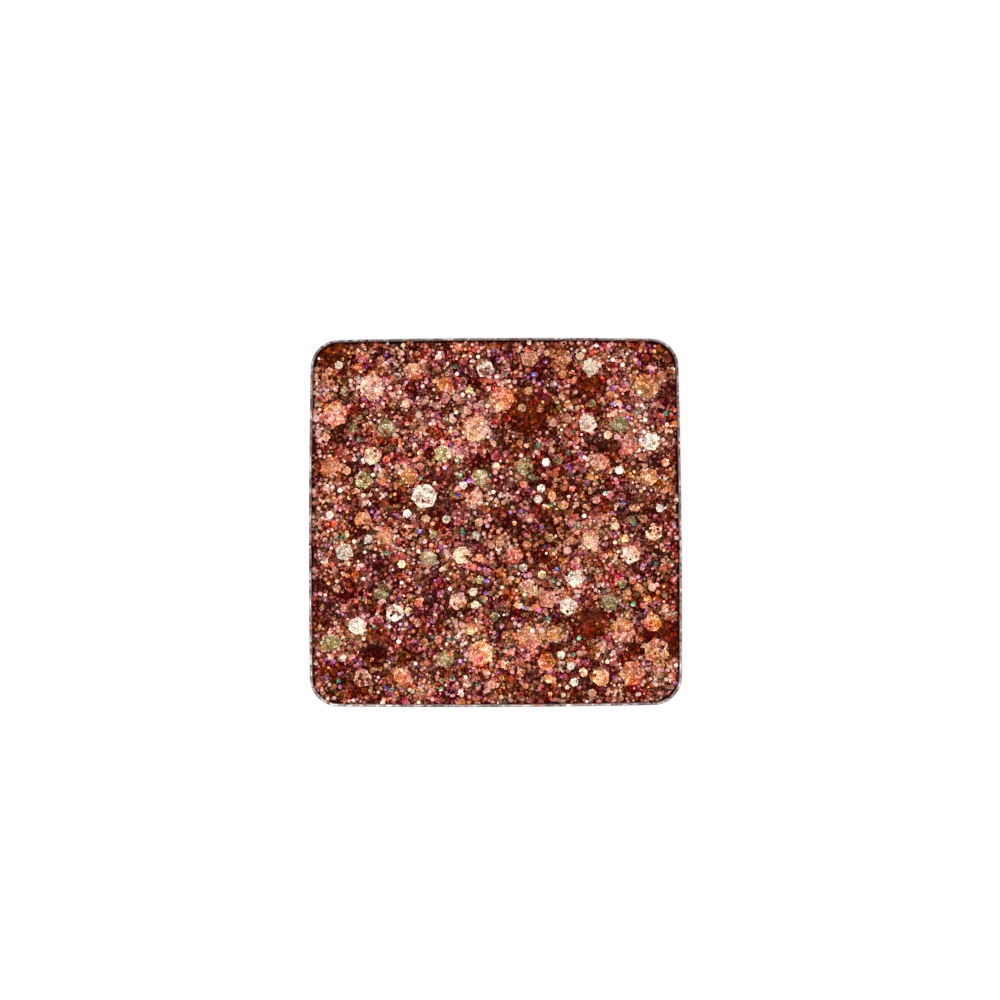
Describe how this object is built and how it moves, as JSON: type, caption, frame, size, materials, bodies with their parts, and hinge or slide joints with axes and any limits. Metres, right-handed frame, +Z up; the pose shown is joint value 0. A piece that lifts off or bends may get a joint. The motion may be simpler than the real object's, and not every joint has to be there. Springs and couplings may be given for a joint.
{
  "type": "eyeshadow pan",
  "caption": "Square thin-walled metal refill pan filled with pressed copper glitter eyeshadow, with hexagonal film flakes of several cuts lying on its top.",
  "frame": {"origin": "middle of the pan's underside, on the surface it stands on", "axes": "+Z up out of the open top, +X to the right and +Y to the top of the picture"},
  "size_m": [0.026, 0.026, 0.0045],
  "materials": {
    "tinplate": "bright tin-plated sheet, lightly rubbed",
    "pressed_glitter": "fine copper glitter in a dark clear binder",
    "copper_film": "metallised film, copper",
    "champagne_film": "metallised film, champagne",
    "pearl_film": "pearl film, white with a faint colour shift",
    "olive_film": "translucent film, olive cream",
    "violet_film": "colour-shift film, violet",
    "green_film": "colour-shift film, green",
    "blue_film": "colour-shift film, blue"
  },
  "bodies": {
    "root": {"pan": "tinplate", "glitter_cake": "pressed_glitter", "jumbo_copper_flakes": "copper_film", "jumbo_champagne_flakes": "champagne_film", "jumbo_pearl_flakes": "pearl_film", "coarse_copper_flakes": "copper_film", "coarse_champagne_flakes": "champagne_film", "coarse_pearl_flakes": "pearl_film", "coarse_olive_flakes": "olive_film", "medium_copper_flakes": "copper_film", "medium_champagne_flakes": "champagne_film", "medium_pearl_flakes": "pearl_film", "medium_olive_flakes": "olive_film", "fine_copper_flakes": "copper_film", "fine_violet_flakes": "violet_film", "fine_green_flakes": "green_film", "fine_blue_flakes": "blue_film"}
  },
  "joints": []
}
